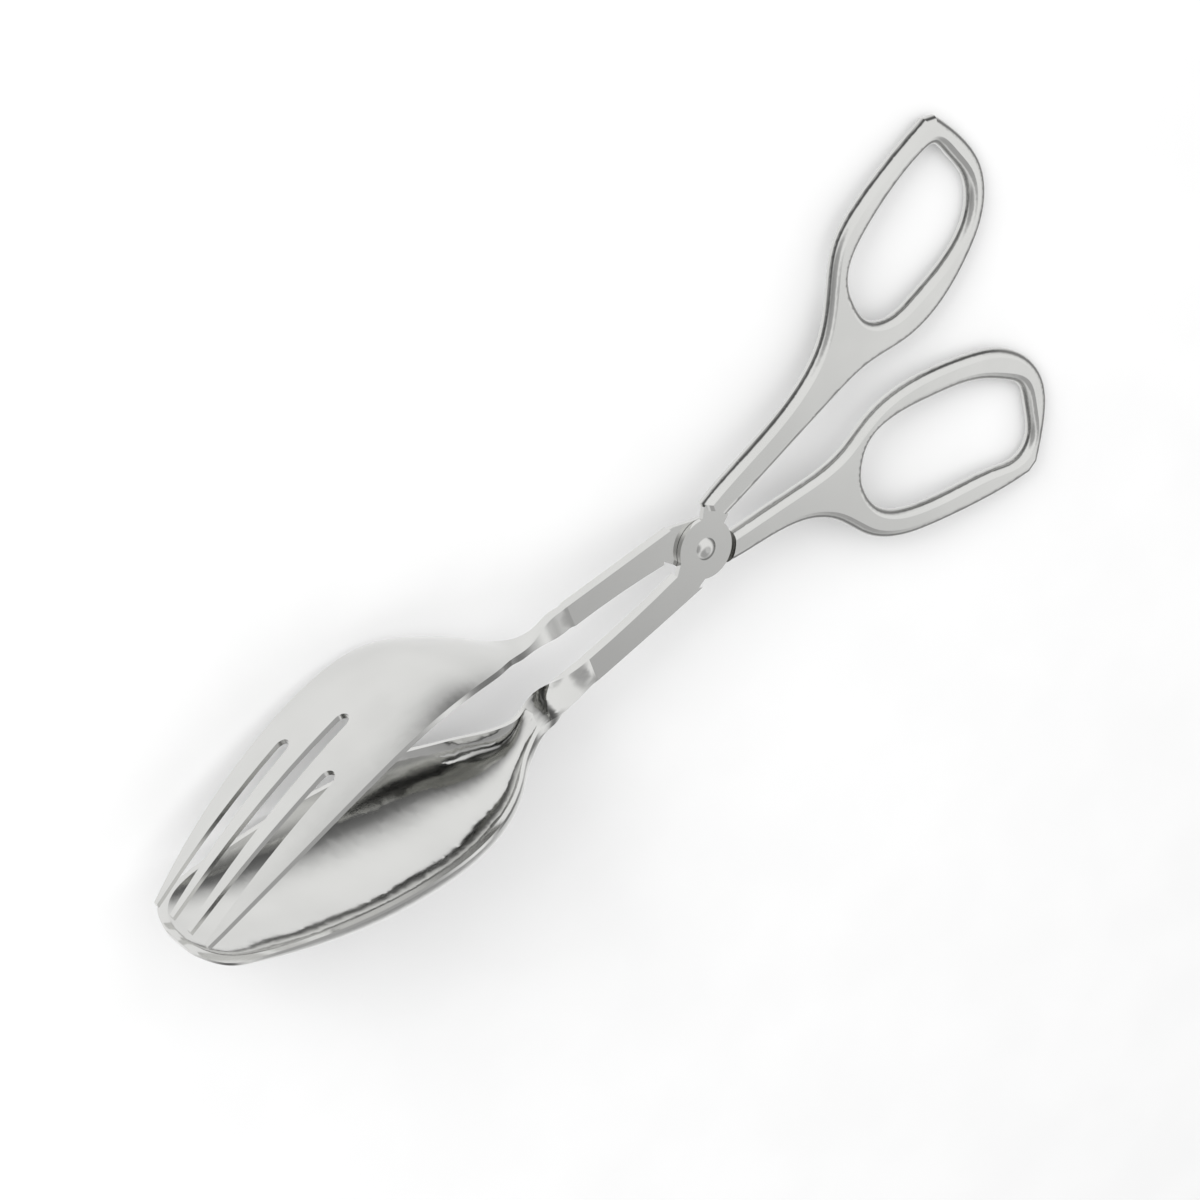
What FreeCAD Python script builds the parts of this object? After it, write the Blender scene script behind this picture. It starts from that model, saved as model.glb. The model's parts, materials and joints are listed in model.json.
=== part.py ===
"""Scissor-action salad serving tongs: a fork half and a spoon half that cross at one riveted lap joint.

The tongs are drawn with the rivet's axis on Z, the jaws towards +X, the fork at -Y and the spoon at
+Y, and are then laid on their side on the table: the rim of the spoon and the two finger loops touch it.
"""
import FreeCAD, Part
import math
import os
import Sketcher
from FreeCAD import Placement, Rotation, Vector

doc = FreeCAD.newDocument("ServingTongs")

# ---------------------------------------------------------------- driving dimensions, in millimetres
sheet = doc.addObject("Spreadsheet::Sheet", "Dimensions")
DIMENSIONS = {
    "spoon_reach": 143.9,        # rivet axis to the spoon's tip
    "spoon_half_width": 26.2,    # outside of the rim
    "spoon_depth": 9.4,          # inside, below the rim
    "spoon_wall": 1.3,
    "fork_reach": 141.8,         # rivet axis to the tips of the tines
    "fork_half_width": 20.1,
    "arm_thickness": 2.6,
    "handle_thickness": 4.0,
    "handle_rounding": 1.9,
    "thumb_reach": 99.1,         # rivet axis to the end of the thumb loop, along the tongs
    "thumb_drop": 58.9,          # and across the tongs
    "finger_reach": 98.4,
    "finger_drop": 37.3,
    "disc_radius": 7.0,
    "lap_face": 1.3,             # outer face of each lap disc, from the middle plane
    "lap_gap": 0.1,              # between the two lap discs
    "thumb_shoulder": 8.8,       # radius at which each arm or handle becomes full thickness
    "finger_shoulder": 7.7,
    "spoon_shoulder": 8.9,
    "fork_shoulder": 11.4,
    "rivet_radius": 1.6,
    "rivet_clearance": 0.05,
    "rivet_head_radius": 2.6,
    "rivet_head_height": 0.8,
    "middle_slot_start": 90.3,
    "side_slot_start": 101.4,
    "slot_width": 4.3,
    "side_slot_offset": 9.65,
    "lay_angle": 7.15,           # the middle plane leans this much when the tongs lie on the table
}
for row, (alias, value) in enumerate(DIMENSIONS.items(), start=1):
    sheet.set(f"A{row}", alias)
    sheet.set(f"B{row}", str(value))
    sheet.setAlias(f"B{row}", alias)
doc.recompute()


def size(alias):
    """The present value of a driving dimension."""
    return float(sheet.get(alias))


def cell(alias):
    """The same dimension as it is written in an expression."""
    return "Dimensions." + alias


# ---------------------------------------------------------------- helpers
def origin_plane(body, role):
    return next(f for f in body.Origin.OriginFeatures if f.Role == role)


def new_body(label):
    body = doc.addObject("PartDesign::Body", label)
    body.Label = label
    body.AllowCompound = True
    return body


def new_sketch(body, name, role, height=None):
    """A sketch on one of the body's origin planes, lifted off it by an expression when one is given."""
    sketch = body.newObject("Sketcher::SketchObject", name)
    sketch.AttachmentSupport = (origin_plane(body, role), [""])
    sketch.MapMode = "FlatFace"
    if height is not None:
        sketch.setExpression("AttachmentOffset.Base.z", height)
    return sketch


def line(start, end):
    return Part.LineSegment(Vector(*start, 0), Vector(*end, 0))


def spline(points):
    curve = Part.BSplineCurve()
    curve.interpolate([Vector(*p, 0) for p in points])
    return curve


def closed_spline(points):
    curve = Part.BSplineCurve()
    curve.interpolate([Vector(*p, 0) for p in points], PeriodicFlag=True)
    return curve


def bend(start, end, rise, fullness):
    """A symmetrical curve between two points of one section; rise is its height at the middle."""
    (height, left), (_, right) = start, end
    pull = height + rise * 4 / 3
    curve = Part.BezierCurve()
    poles = [(height, left), (pull, left * fullness), (pull, right * fullness), (height, right)]
    curve.setPoles([Vector(*p, 0) for p in poles])
    return curve.toBSpline()


def polygon(sketch, points):
    for start, end in zip(points, points[1:] + points[:1]):
        sketch.addGeometry(line(start, end))


def circle(sketch, radius, centre=(0, 0)):
    """A circle whose radius follows a cell of the sheet."""
    index = sketch.addGeometry(Part.Circle(Vector(*centre, 0), Vector(0, 0, 1), size(radius)))
    sketch.addConstraint(Sketcher.Constraint("Coincident", index, 3, -1, 1))
    number = sketch.addConstraint(Sketcher.Constraint("Radius", index, size(radius)))
    sketch.setExpression(f"Constraints[{number}]", cell(radius))
    return index


def pad(body, name, sketch, length, midplane=False, down=False):
    feature = body.newObject("PartDesign::Pad", name)
    feature.Profile = sketch
    feature.setExpression("Length", length)
    feature.Midplane = midplane
    feature.Reversed = down
    return feature


def pocket(body, name, sketch, length, midplane=False, up=False):
    """Cuts from the sketch towards -Z, or towards +Z when up is set."""
    feature = body.newObject("PartDesign::Pocket", name)
    feature.Profile = sketch
    feature.setExpression("Length", length)
    feature.Midplane = midplane
    feature.Reversed = up
    return feature


def flat_faces(feature):
    """Names of the feature's faces that lie square to Z."""
    names = []
    for number, face in enumerate(feature.Shape.Faces, start=1):
        if face.BoundBox.ZLength < 1e-6:
            names.append(f"Face{number}")
    return names


def fillet_flats(body, name, feature, radius):
    doc.recompute()
    rounding = body.newObject("PartDesign::Fillet", name)
    rounding.Base = (feature, flat_faces(feature))
    rounding.setExpression("Radius", radius)
    return rounding


def section(body, name, reach, half_width, top, side, crown, belly, fullness, twist=0):
    """One cross-section of a neck or bowl: a crowned top, two upright sides and a curved belly.

    top is the Y of the top's edges and side the height of the sides, before the section is turned
    by twist degrees about its own middle.
    """
    sketch = new_sketch(body, name, "YZ_Plane", str(reach))
    low = top + side
    curves = [bend((top, -half_width), (top, half_width), -crown, fullness),
              line((top, half_width), (low, half_width)),
              bend((low, half_width), (low, -half_width), belly, fullness),
              line((low, -half_width), (top, -half_width))]
    for curve in curves:
        curve.rotate(Placement(Vector(top + side / 2, 0, 0), Rotation(Vector(0, 0, 1), twist)))
        sketch.addGeometry(curve)
    return sketch


def loft(body, kind, name, sections):
    feature = body.newObject(kind, name)
    feature.Profile = (sections[0], [""])
    feature.Sections = [(s, [""]) for s in sections[1:]]
    feature.Ruled = False
    return feature


def mirrored(points):
    return [(u, -v) for u, v in points]


def scaled(points, reach, drop):
    """Outline points given as fractions of a handle's reach and drop."""
    return [(-u * size(reach), v * size(drop)) for u, v in points]


# ---------------------------------------------------------------- handles
# Each outline runs from the rivet along the handle's outer side to its corner, and back round its
# inner side. The first number is the fraction of the reach, the second that of the drop.
THUMB_OUTER = [(0.033, 0.170), (0.20, 0.248), (0.373, 0.350), (0.454, 0.448), (0.514, 0.603),
               (0.570, 0.757), (0.676, 0.869), (0.801, 0.947), (0.890, 0.993)]
THUMB_INNER = [(0.920, 0.980), (0.975, 0.832), (1.0, 0.679), (0.974, 0.526), (0.878, 0.368),
               (0.777, 0.275), (0.666, 0.236), (0.555, 0.244), (0.424, 0.207), (0.20, 0.115),
               (0.033, 0.052)]
THUMB_HOLE = [(0.566, 0.526), (0.585, 0.645), (0.646, 0.730), (0.757, 0.823), (0.858, 0.878),
              (0.893, 0.880), (0.923, 0.803), (0.949, 0.671), (0.928, 0.552), (0.848, 0.445),
              (0.727, 0.377), (0.646, 0.358), (0.590, 0.402)]
FINGER_OUTER = [(0.02, 0.170), (0.092, 0.198), (0.189, 0.223), (0.274, 0.282), (0.345, 0.416),
                (0.410, 0.646), (0.484, 0.786), (0.579, 0.871), (0.694, 0.938), (0.819, 0.989),
                (0.884, 1.0)]
FINGER_INNER = [(0.915, 0.965), (0.967, 0.756), (1.0, 0.483), (0.976, 0.268), (0.915, 0.102),
                (0.817, -0.011), (0.701, -0.086), (0.610, -0.110), (0.508, -0.070), (0.417, 0.019),
                (0.274, 0.038), (0.081, 0.016), (0.02, 0.010)]
FINGER_HOLE = [(0.438, 0.349), (0.485, 0.584), (0.559, 0.678), (0.681, 0.751), (0.803, 0.818),
               (0.879, 0.847), (0.908, 0.802), (0.936, 0.584), (0.937, 0.421), (0.900, 0.316),
               (0.813, 0.174), (0.681, 0.078), (0.563, 0.038), (0.488, 0.086), (0.447, 0.220)]


def handle(body, name, outer, inner, hole, reach, drop):
    """A flat handle with a closed finger loop, rounded all round its edges."""
    outer = scaled(outer, reach, drop)
    inner = scaled(inner, reach, drop)
    sketch = new_sketch(body, name + "_outline", "XY_Plane")
    sketch.addGeometry(spline(outer))
    sketch.addGeometry(line(outer[-1], inner[0]))
    sketch.addGeometry(spline(inner))
    sketch.addGeometry(line(inner[-1], outer[0]))
    sketch.addGeometry(closed_spline(scaled(hole, reach, drop)))
    blank = pad(body, name + "_blank", sketch, cell("handle_thickness"), midplane=True)
    return fillet_flats(body, name + "_rounding", blank, cell("handle_rounding"))


# ---------------------------------------------------------------- lap joint
def lap_joint(body, name, front, shoulders, necks):
    """Clears the joint's full thickness, then adds this half's thin disc and its thin necks.

    shoulders pairs the side of the joint (+1 jaws, -1 handles) with the radius that stays clear.
    """
    reach = 40
    for side, radius in shoulders:
        sketch = new_sketch(body, f"{name}_clearing_{'jaw' if side > 0 else 'grip'}", "XY_Plane")
        clear = size(radius)
        sketch.addGeometry(Part.Arc(Vector(0, -clear, 0), Vector(side * clear, 0, 0), Vector(0, clear, 0)))
        sketch.addGeometry(line((0, clear), (0, -clear)))
        pocket(body, sketch.Name + "_cut", sketch, str(reach), midplane=True)
    lift = cell("lap_gap") + " / 2" if front else "-" + cell("lap_gap") + " / 2"
    depth = f"{cell('lap_face')} - {cell('lap_gap')} / 2"
    for number, outline in enumerate(necks, start=1):
        sketch = new_sketch(body, f"{name}_neck_{number}", "XY_Plane", lift)
        polygon(sketch, outline)
        pad(body, sketch.Name + "_plate", sketch, depth, down=not front)
    sketch = new_sketch(body, name + "_disc_outline", "XY_Plane", lift)
    circle(sketch, "disc_radius")
    return pad(body, name + "_disc", sketch, depth, down=not front)


def rivet_hole(body, name, radius):
    sketch = new_sketch(body, name + "_outline", "XY_Plane")
    circle(sketch, "rivet_radius")
    sketch.setExpression("Constraints[1]", radius)
    return pocket(body, name, sketch, "40", midplane=True)


# ---------------------------------------------------------------- arms and bowls
def arm(body, name, upper, lower):
    """The flat bar between the joint and the neck of a bowl; upper and lower are its two long edges."""
    sketch = new_sketch(body, name + "_outline", "XY_Plane")
    sketch.addGeometry(spline(upper))
    sketch.addGeometry(line(upper[-1], lower[-1]))
    sketch.addGeometry(spline(lower))
    sketch.addGeometry(line(lower[0], upper[0]))
    return pad(body, name + "_blank", sketch, cell("arm_thickness"), midplane=True)


# One row for each cross-section: reach from the rivet, half width, Y of the top edges, height of the
# sides, crown of the top, belly of the underside, fullness of both curves and, in the neck, the twist
# in degrees that turns the flat arm into the bowl.
SPOON_SECTIONS = [
    (36.0, 2.95, 7.1, 2.5, 0.0, 0.0, 0.5, -90),
    (40.0, 3.05, 7.5, 2.5, 0.05, 0.0, 0.5, -88),
    (43.0, 3.15, 7.85, 2.45, 0.2, 0.1, 0.55, -78),
    (46.0, 3.4, 8.15, 2.3, 0.4, 0.3, 0.6, -58),
    (49.0, 3.9, 8.55, 2.1, 0.35, 0.8, 0.65, -32),
    (52.0, 4.4, 9.3, 1.8, 0.15, 1.7, 0.7, -10),
    (55.0, 4.9, 10.3, 1.3, 0.0, 2.9, 0.76),
    (58.0, 6.3, 10.95, 0.9, 0.0, 4.4, 0.8),
    (61.5, 8.9, 11.2, 0.7, 0.0, 6.1, 0.79),
    (66.0, 13.4, 11.5, 0.7, 0.0, 8.0, 0.76),
    (71.5, 18.1, 11.6, 0.7, 0.0, 9.3, 0.73),
    (79.0, 22.8, 11.0, 0.7, 0.0, 9.9, 0.72),
    (88.0, 25.2, 10.6, 0.7, 0.0, 10.2, 0.72),
    (98.0, 26.2, 9.5, 0.7, 0.0, 10.2, 0.72),
    (109.0, 25.8, 8.1, 0.7, 0.0, 9.6, 0.72),
    (119.0, 24.3, 6.5, 0.7, 0.0, 8.4, 0.72),
    (128.0, 22.2, 4.8, 0.7, 0.0, 6.6, 0.72),
    (135.0, 19.7, 3.5, 0.7, 0.0, 4.8, 0.72),
    (139.5, 17.0, 2.9, 0.7, 0.0, 3.1, 0.72),
    (142.0, 13.0, 2.55, 0.7, 0.0, 1.9, 0.74),
    (143.4, 8.2, 2.4, 0.7, 0.0, 1.0, 0.76),
    (143.9, 3.6, 2.3, 0.7, 0.0, 0.5, 0.78),
]
# The bowl's inside: reach, half width, Y of the rim, depth, fullness.
SPOON_CAVITY = [
    (52.5, 3.2, 9.45, 0.05, 0.8),
    (55.0, 3.6, 10.3, 1.2, 0.8),
    (58.0, 5.0, 10.95, 3.1, 0.82),
    (62.0, 8.1, 11.25, 5.1, 0.79),
    (67.0, 13.2, 11.6, 7.1, 0.76),
    (73.0, 17.9, 11.6, 8.4, 0.73),
    (81.0, 22.1, 10.95, 9.0, 0.72),
    (90.0, 24.2, 10.4, 9.4, 0.72),
    (100.0, 24.9, 9.25, 9.2, 0.72),
    (110.0, 24.3, 7.95, 8.5, 0.72),
    (120.0, 22.8, 6.3, 7.2, 0.72),
    (128.0, 20.8, 4.8, 5.8, 0.72),
    (134.0, 18.4, 3.65, 4.1, 0.72),
    (138.0, 15.4, 3.05, 2.8, 0.73),
    (140.6, 11.4, 2.7, 1.6, 0.75),
    (142.0, 7.0, 2.5, 0.75, 0.77),
    (142.6, 2.8, 2.4, 0.19, 0.8),
]


def stretched(rows, reach, half_width, column, deepening=1.0):
    """A table's rows, stretched to a reach and a half width; one column of depths is scaled as well."""
    along = reach / rows[-1][0]
    across = half_width / max(row[1] for row in rows)
    return [(row[0] * along, row[1] * across, *row[2:column], row[column] * deepening, *row[column + 1:])
            for row in rows]


def build_spoon_half():
    body = new_body("spoon_half")
    handle(body, "thumb_loop", mirrored(THUMB_OUTER), mirrored(THUMB_INNER), mirrored(THUMB_HOLE),
           "thumb_reach", "thumb_drop")
    arm(body, "spoon_arm", [(4.0, 0.6), (20.0, 3.45), (36.0, 5.4)],
        [(4.0, 7.8), (20.0, 9.65), (36.0, 11.3)])
    reach = size("spoon_reach")
    half_width = size("spoon_half_width")
    wall = size("spoon_wall")
    deepening = size("spoon_depth") / max(row[3] for row in SPOON_CAVITY)
    outer_rows = stretched(SPOON_SECTIONS, reach, half_width, 5, deepening)
    inner_rows = stretched(SPOON_CAVITY, reach - wall, half_width - wall, 3, deepening)
    outside = [section(body, f"spoon_section_{number}", *row) for number, row in enumerate(outer_rows)]
    loft(body, "PartDesign::AdditiveLoft", "spoon_outside", outside)
    inside = []
    for number, (station, wide, rim, depth, fullness) in enumerate(inner_rows):
        sketch = new_sketch(body, f"spoon_cavity_{number}", "YZ_Plane", str(station))
        rim -= 0.2
        open_side = rim - 2
        sketch.addGeometry(line((open_side, -wide), (open_side, wide)))
        sketch.addGeometry(line((open_side, wide), (rim, wide)))
        sketch.addGeometry(bend((rim, wide), (rim, -wide), depth, fullness))
        sketch.addGeometry(line((rim, -wide), (open_side, -wide)))
        inside.append(sketch)
    loft(body, "PartDesign::SubtractiveLoft", "spoon_inside", inside)
    necks = [[(0, 0), (-1.7, -6.8), (-3.2, -9.3), (-3.7, -9.3), (-6.4, -6.5), (-8.2, -4.3), (-7.8, -3.8),
              (-6.4, -2.9)],
             [(0, 0), (6.9, -0.9), (9.0, 1.6), (12.0, 2.2), (12.0, 8.6), (8.1, 8.1), (5.4, 7.4), (3.0, 6.4)]]
    lap_joint(body, "front_lap", True, [(1, "spoon_shoulder"), (-1, "thumb_shoulder")], necks)
    rivet_hole(body, "front_rivet_hole", cell("rivet_radius"))
    return body


# Back of the fork: the same columns as SPOON_SECTIONS. Its underside follows its back.
FORK_SECTIONS = [
    (36.0, 1.25, -9.2, 5.3, 0.0, 0.0, 0.5),
    (39.0, 1.25, -9.1, 5.0, 0.0, 0.0, 0.5),
    (42.0, 1.3, -8.65, 4.3, 0.0, 0.0, 0.5),
    (44.0, 1.55, -8.05, 3.2, 0.05, 0.0, 0.5),
    (46.0, 2.1, -7.65, 2.2, 0.1, 0.0, 0.5),
    (48.5, 3.0, -7.75, 1.6, 0.15, -0.1, 0.5),
    (51.5, 4.4, -8.65, 1.6, 0.3, -0.3, 0.5),
    (55.0, 6.8, -10.45, 1.35, 1.0, -0.9, 0.5),
    (59.5, 10.9, -13.0, 1.35, 1.9, -1.8, 0.5),
    (65.0, 14.6, -15.5, 1.35, 2.8, -2.7, 0.5),
    (71.5, 17.9, -17.7, 1.25, 3.1, -3.0, 0.5),
    (79.0, 19.6, -18.45, 1.15, 2.5, -2.4, 0.5),
    (88.0, 20.1, -17.7, 1.15, 1.6, -1.5, 0.5),
    (98.0, 19.95, -15.75, 1.15, 1.25, -1.2, 0.5),
    (108.0, 19.15, -13.1, 1.1, 1.1, -1.1, 0.5),
    (118.0, 17.8, -9.95, 1.1, 0.95, -0.95, 0.5),
    (128.0, 15.85, -6.4, 1.05, 0.7, -0.7, 0.5),
    (136.0, 13.8, -3.2, 1.0, 0.45, -0.45, 0.5),
    (141.8, 12.0, -0.75, 0.95, 0.3, -0.3, 0.5),
]


def slot(body, name, start, centre, near_edge, far_edge):
    """A slot with a round root, open past the tips; each edge gives its Z at mid-length and at the tip."""
    half = size("slot_width") / 2
    root = size(start) + half
    tip = size("fork_reach")
    middle = (root + tip) / 2
    past = tip + 3
    sketch = new_sketch(body, name + "_outline", "XZ_Plane")
    sketch.addGeometry(Part.Arc(Vector(root, centre - half, 0), Vector(size(start), centre, 0),
                                Vector(root, centre + half, 0)))
    for side, (at_middle, at_tip) in ((-1, near_edge), (1, far_edge)):
        sketch.addGeometry(Part.Arc(Vector(root, centre + side * half, 0), Vector(middle, at_middle, 0),
                                    Vector(tip, at_tip, 0)))
        sketch.addGeometry(line((tip, at_tip), (past, at_tip)))
    sketch.addGeometry(line((past, near_edge[1]), (past, far_edge[1])))
    return pocket(body, name, sketch, "100", midplane=True)


def build_fork_half():
    body = new_body("fork_half")
    handle(body, "finger_loop", FINGER_OUTER, FINGER_INNER, FINGER_HOLE, "finger_reach", "finger_drop")
    arm(body, "fork_arm", [(4.0, -9.45), (20.0, -9.35), (36.0, -9.2)],
        [(4.0, -2.4), (12.0, -3.25), (36.0, -3.9)])
    rows = stretched(FORK_SECTIONS, size("fork_reach"), size("fork_half_width"), 4)
    sections = [section(body, f"fork_section_{number}", *row) for number, row in enumerate(rows)]
    loft(body, "PartDesign::AdditiveLoft", "fork_blade", sections)
    slot(body, "middle_slot", "middle_slot_start", 0, (-2.6, -3.1), (2.6, 3.1))
    offset = size("side_slot_offset")
    slot(body, "near_slot", "side_slot_start", offset, (6.4, 4.7), (11.3, 10.6))
    slot(body, "far_slot", "side_slot_start", -offset, (-11.3, -10.6), (-6.4, -4.7))
    necks = [[(0, 0), (-1.0, -6.9), (5.0, -8.9), (12.5, -9.25), (12.5, -3.4), (10.2, -3.1), (8.1, -0.7),
              (6.9, 1.2)],
             [(0, 0), (-6.9, 0.3), (-8.0, 0.9), (-7.0, 4.3), (-4.4, 6.8), (-2.0, 6.7)]]
    lap_joint(body, "back_lap", False, [(1, "fork_shoulder"), (-1, "finger_shoulder")], necks)
    rivet_hole(body, "back_rivet_hole", cell("rivet_radius") + " + " + cell("rivet_clearance"))
    return body


# ---------------------------------------------------------------- rivet
def build_rivet():
    """The rivet is pressed into the spoon half; its back head holds the fork half on."""
    body = new_body("pivot_rivet")
    shank = size("rivet_radius")
    head = size("rivet_head_radius")
    dome = size("rivet_head_height")
    front = size("lap_face")
    back = -size("lap_face") - size("lap_gap")
    land = shank * 0.4
    bulge = ((head - land) ** 2 + dome ** 2) / (2 * dome)
    half_angle = math.asin((head - land) / bulge) / 2
    shoulder = (land + bulge * math.sin(half_angle), dome - bulge * (1 - math.cos(half_angle)))
    sketch = new_sketch(body, "rivet_profile", "XZ_Plane")
    outline = [(land, front + dome), (0, front + dome), (0, back - dome), (land, back - dome)]
    outline += [(head, back), (shank, back), (shank, front), (head, front)]
    for number in (0, 1, 2, 4, 5, 6):
        sketch.addGeometry(line(outline[number], outline[number + 1]))
    for face, side in ((front, 1), (back, -1)):
        points = [(head, face), (shoulder[0], face + side * shoulder[1]), (land, face + side * dome)]
        sketch.addGeometry(Part.Arc(*[Vector(*point, 0) for point in points]))
    turned = body.newObject("PartDesign::Revolution", "rivet_turned")
    turned.Profile = sketch
    turned.ReferenceAxis = (sketch, ["V_Axis"])
    turned.Angle = 360
    return body


bodies = [build_spoon_half(), build_fork_half(), build_rivet()]
doc.recompute()

# ---------------------------------------------------------------- on the table
lean = Rotation(Vector(0, 1, 0), -size("lay_angle"))
for body in bodies:
    body.Placement = Placement(Vector(), lean)
doc.recompute()
laid = Part.makeCompound([body.Shape for body in bodies]).optimalBoundingBox(False, False)
foot = Vector(-laid.Center.x, -laid.Center.y, -laid.ZMin)
for body in bodies:
    body.Placement = Placement(foot, lean)
doc.recompute()

for obj in doc.Objects:
    if "Invalid" in obj.State or "Error" in obj.State:
        raise RuntimeError(f"{obj.Name} didn't compute")
os.makedirs("parts", exist_ok=True)
for body in bodies:
    if body.Shape.isNull() or not body.Shape.isValid() or len(body.Shape.Solids) != 1:
        raise RuntimeError(f"{body.Label} isn't one valid solid")
    body.Shape.exportStep(f"parts/{body.Label}.step")
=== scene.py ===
"""Riveted salad serving tongs in polished stainless steel, lying on a plain pale table."""
import json
import math
import bpy
from mathutils import Matrix, Vector

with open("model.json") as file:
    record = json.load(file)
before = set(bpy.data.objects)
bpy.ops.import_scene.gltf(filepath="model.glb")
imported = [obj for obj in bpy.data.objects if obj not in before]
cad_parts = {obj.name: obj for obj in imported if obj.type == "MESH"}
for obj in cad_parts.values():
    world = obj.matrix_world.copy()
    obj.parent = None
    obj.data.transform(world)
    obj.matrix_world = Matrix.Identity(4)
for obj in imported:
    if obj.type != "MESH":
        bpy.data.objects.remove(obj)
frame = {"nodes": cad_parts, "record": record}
bpy.context.view_layer.update()
scene = bpy.context.scene

JOINT = frame["record"]["behaviour"]["joints"][0]
PIVOT = Vector(JOINT["pos_m"])
LEAN = math.asin(-JOINT["axis"][0])       # the tongs' own plane leans this much about Y
TONGS = Matrix.Rotation(LEAN, 3, "Y")     # turns a direction of the tongs' plane into the row frame


# ---------------------------------------------------------------- node helpers
class Graph:
    """Short-hand for building one node tree."""

    def __init__(self, tree):
        self.tree = tree
        tree.nodes.clear()

    def node(self, kind, inputs=None, **settings):
        made = self.tree.nodes.new(kind)
        for key, value in settings.items():
            setattr(made, key, value)
        for key, value in (inputs or {}).items():
            if isinstance(value, bpy.types.NodeSocket):
                self.tree.links.new(value, made.inputs[key])
            else:
                made.inputs[key].default_value = value
        return made

    def math(self, operation, *values):
        return self.node("ShaderNodeMath", dict(enumerate(values)), operation=operation).outputs[0]

    def remap(self, value, low, high, to_low=0.0, to_high=1.0):
        """Carries low to to_low and high to to_high, with a smooth step between and flat outside."""
        inputs = dict(enumerate((value, low, high, to_low, to_high)))
        return self.node("ShaderNodeMapRange", inputs, interpolation_type="SMOOTHSTEP").outputs[0]

    def ramp(self, value, stops):
        """Turns a number into another, by way of stops that are given over -1 to 1."""
        made = self.node("ShaderNodeValToRGB", {0: value})
        elements = made.color_ramp.elements
        made.color_ramp.interpolation = "B_SPLINE"
        while len(elements) < len(stops):
            elements.new(0.5)
        for element, (place, level) in zip(elements, stops):
            element.position = place / 2 + 0.5
            element.color = (level, level, level, 1)
        return made.outputs[0]

    def noise(self, vector, scale, detail=2.0, roughness=0.5):
        return self.node("ShaderNodeTexNoise", {"Vector": vector, "Scale": scale, "Detail": detail,
                                                "Roughness": roughness}).outputs[0]


# ---------------------------------------------------------------- steel
BRUSH_SCALE = (60.0, 2500.0, 2500.0)      # per metre: fine lines that run along the tongs
CLOUD_SCALE = 55.0                        # per metre: wide, faint changes of polish
SPECK_SCALE = 900.0                       # per metre: the finest grain
BUMP_HEIGHT = 0.00001                     # metres
CLOUDY_TINT = 0.96                        # share of the tint that the darker clouds keep


def steel(name, tint, roughness, brushed):
    """Polished steel with faint brushing; brushed is how far the lines change its roughness."""
    material = bpy.data.materials.new(name)
    material.use_nodes = True
    g = Graph(material.node_tree)
    place = g.node("ShaderNodeTexCoord").outputs["Object"]
    shader = g.node("ShaderNodeBsdfPrincipled", {"Metallic": 1.0})
    g.node("ShaderNodeOutputMaterial", {"Surface": shader.outputs[0]})
    stretched = g.node("ShaderNodeMapping", {"Vector": place, "Scale": BRUSH_SCALE}).outputs[0]
    lines = g.noise(stretched, 1.0, 3.0, 0.6)
    clouds = g.noise(place, CLOUD_SCALE, 2.0, 0.5)
    specks = g.noise(place, SPECK_SCALE, 2.0, 0.6)
    brushing = g.remap(lines, 0.3, 0.7, -brushed, brushed)
    rough = g.math("ADD", brushing, g.remap(clouds, 0.35, 0.65, -0.02, 0.02))
    g.tree.links.new(g.math("ADD", rough, roughness), shader.inputs["Roughness"])
    cloudy = [channel * CLOUDY_TINT for channel in tint]
    colour = g.node("ShaderNodeMix", {0: g.remap(clouds, 0.3, 0.7), 6: (*tint, 1), 7: (*cloudy, 1)},
                    data_type="RGBA")
    g.tree.links.new(colour.outputs[2], shader.inputs["Base Color"])
    relief = g.math("ADD", lines, g.math("MULTIPLY", specks, 0.5))
    bump = g.node("ShaderNodeBump", {"Height": relief, "Strength": 0.12, "Distance": BUMP_HEIGHT})
    g.tree.links.new(bump.outputs[0], shader.inputs["Normal"])
    return material


spoon_steel = steel("spoon_steel", (0.71, 0.71, 0.695), 0.10, 0.02)
fork_steel = steel("fork_steel", (0.71, 0.71, 0.695), 0.14, 0.03)
rivet_steel = steel("rivet_steel", (0.70, 0.70, 0.685), 0.17, 0.03)
COATS = {"spoon_half": spoon_steel, "fork_half": fork_steel, "pivot_rivet": rivet_steel}
for name, material in COATS.items():
    frame["nodes"][name].material_slots[0].material = material


# ---------------------------------------------------------------- table, light and camera
# Brightness of the surroundings against the height of a direction, -1 straight down to 1 straight up.
# In front of the bowls the room is dark between the pale table and a bright window of light.
FRONT = [(-1.0, 0.95), (-0.7, 1.05), (-0.52, 0.74), (-0.3, 0.12), (0.14, 0.03), (0.34, 1.15),
         (0.62, 1.2), (1.0, 0.95)]
BEHIND = [(-1.0, 0.95), (-0.55, 0.9), (-0.2, 0.22), (0.18, 0.2), (0.45, 1.05), (0.75, 1.12),
          (1.0, 1.0)]
# Cards: direction, inner and outer half angle in degrees, and the share of light each takes away.
CARDS = [((-0.06, 0.66, 0.75), 16, 34, 0.55),
         ((0.6, -0.2, 0.77), 12, 40, 0.55),
         ((0.9, 0.3, 0.1), 20, 60, 0.3)]
FRONT_STARTS, FRONT_FULL = -0.12, -0.5    # Y of the directions where the front takes over


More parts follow.
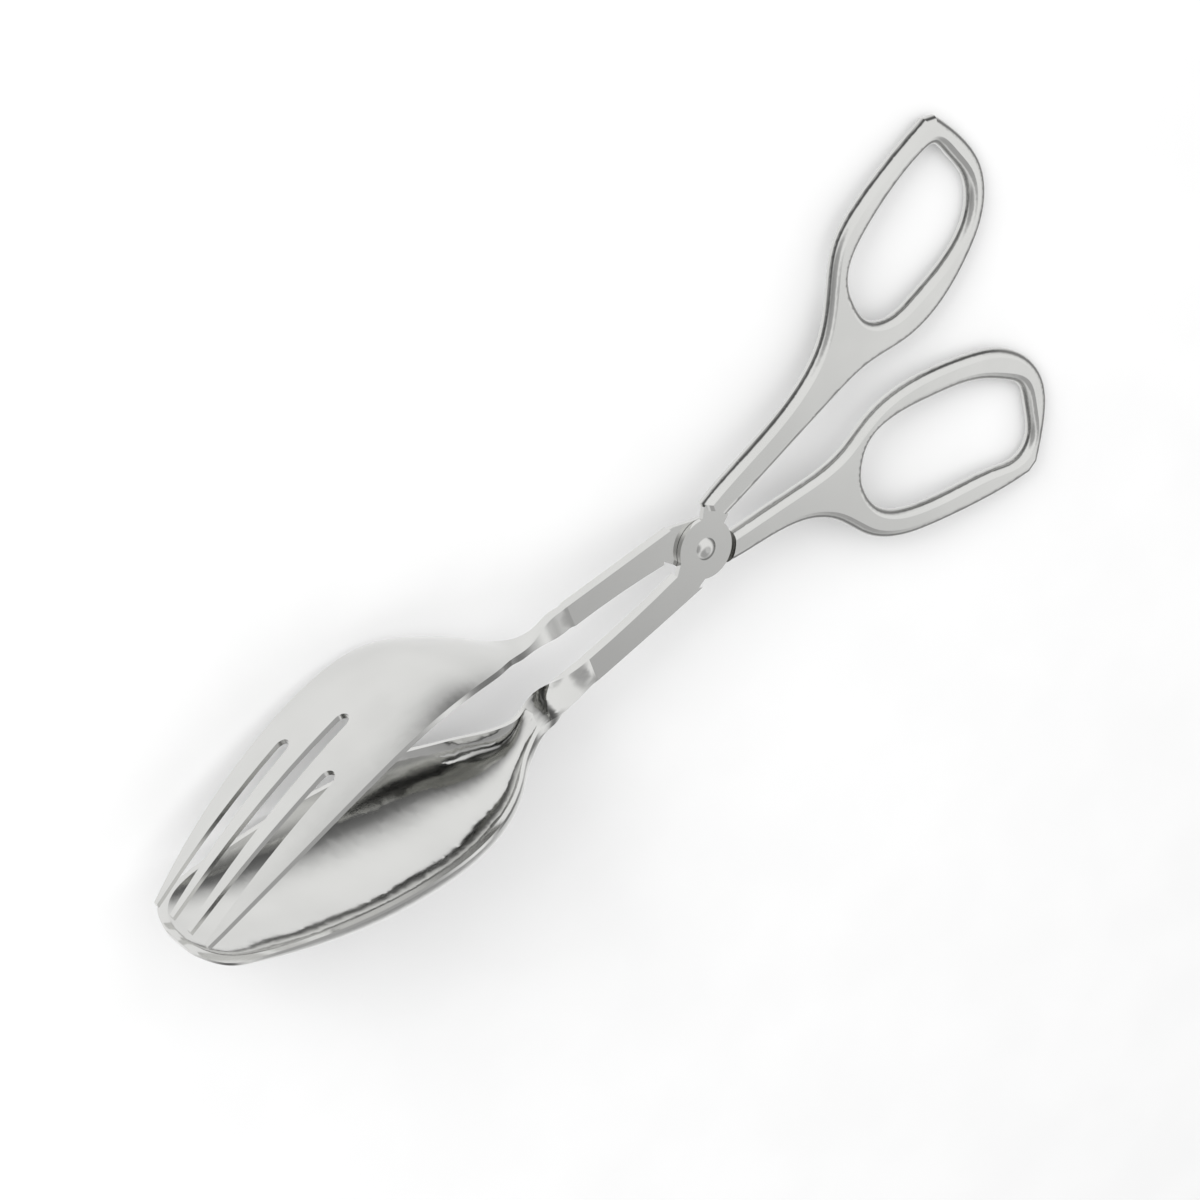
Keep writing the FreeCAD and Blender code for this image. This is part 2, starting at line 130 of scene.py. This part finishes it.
def table_top():
    """A wide pale table; the steel mirrors the surroundings' pale lower half in its place."""
    mesh = bpy.data.meshes.new("table_top")
    half = 6.0
    corners = [(-half, -half, 0), (half, -half, 0), (half, half, 0), (-half, half, 0)]
    mesh.from_pydata(corners, [], [(0, 1, 2, 3)])
    floor = bpy.data.objects.new("table_top", mesh)
    scene.collection.objects.link(floor)
    material = bpy.data.materials.new("table_paint")
    material.use_nodes = True
    g = Graph(material.node_tree)
    place = g.node("ShaderNodeTexCoord").outputs["Object"]
    shade = g.remap(g.noise(place, 30.0), 0.3, 0.7, 0.86, 0.88)
    colour = g.node("ShaderNodeCombineColor", {0: shade, 1: shade, 2: shade}).outputs[0]
    shader = g.node("ShaderNodeBsdfPrincipled", {"Base Color": colour, "Roughness": 0.7})
    g.node("ShaderNodeOutputMaterial", {"Surface": shader.outputs[0]})
    mesh.materials.append(material)
    floor.visible_glossy = False


def softbox(name, direction, distance, side, radiance):
    """A square lamp that faces the rivet and isn't mirrored in the steel.

    radiance is the brightness of its face.
    """
    data = bpy.data.lights.new(name, "AREA")
    data.shape = "SQUARE"
    data.size = side
    data.energy = radiance * side * side * math.pi
    lamp = bpy.data.objects.new(name, data)
    scene.collection.objects.link(lamp)
    towards = Vector(direction).normalized()
    lamp.location = PIVOT + towards * distance
    lamp.rotation_mode = "QUATERNION"
    lamp.rotation_quaternion = towards.to_track_quat("Z", "Y")
    lamp.visible_glossy = False


def studio_walls():
    """Soft grey surroundings, dark near the horizon and light overhead, with a few cards."""
    world = bpy.data.worlds.new("studio")
    scene.world = world
    world.use_nodes = True
    g = Graph(world.node_tree)
    direction = g.node("ShaderNodeTexCoord").outputs["Generated"]
    parts = g.node("ShaderNodeSeparateXYZ", {0: direction})
    height = g.math("MULTIPLY_ADD", parts.outputs[2], 0.5, 0.5)
    front = g.remap(parts.outputs[1], FRONT_STARTS, FRONT_FULL)
    levels = {0: front, 2: g.ramp(height, BEHIND), 3: g.ramp(height, FRONT)}
    level = g.node("ShaderNodeMix", levels).outputs[0]
    for centre, inner, outer, taken in CARDS:
        axis = Vector(centre).normalized()
        facing = g.node("ShaderNodeVectorMath", {0: direction, 1: axis}, operation="DOT_PRODUCT")
        edges = [math.cos(math.radians(angle)) for angle in (outer, inner)]
        left = g.remap(facing.outputs["Value"], *edges, 1.0, 1.0 - taken)
        level = g.math("MULTIPLY", level, left)
    colour = g.node("ShaderNodeCombineColor", {0: level, 1: level, 2: level}).outputs[0]
    backdrop = g.node("ShaderNodeBackground", {"Color": colour, "Strength": 1.0})
    g.node("ShaderNodeOutputWorld", {"Surface": backdrop.outputs[0]})


VIEW = (-57.304, 50.526, 117.67)          # azimuth, elevation and roll in degrees, in the tongs' plane
EYE = Vector((-0.0226, -0.011594, 0.66))  # the camera from the rivet: right, up and back, in metres


def camera():
    """Looks down on the tongs from the fork's side."""
    data = bpy.data.cameras.new("camera")
    data.lens = 90
    data.sensor_width = 36
    data.clip_start = 0.01
    data.clip_end = 50
    eye = bpy.data.objects.new("camera", data)
    scene.collection.objects.link(eye)
    azimuth, elevation, roll = [math.radians(angle) for angle in VIEW]
    turn = TONGS @ Matrix.Rotation(azimuth + math.pi / 2, 3, "Z")
    turn = turn @ Matrix.Rotation(math.pi / 2 - elevation, 3, "X") @ Matrix.Rotation(roll, 3, "Z")
    eye.matrix_world = Matrix.Translation(PIVOT + turn @ EYE) @ turn.to_4x4()
    scene.camera = eye


table_top()
studio_walls()
softbox("fill", (0.5, -0.8, 1.0), 1.7, 2.6, 1.06)
softbox("key", (0.50, -0.80, 0.56), 1.5, 0.6, 6.0)
camera()
scene.view_settings.view_transform = "Standard"
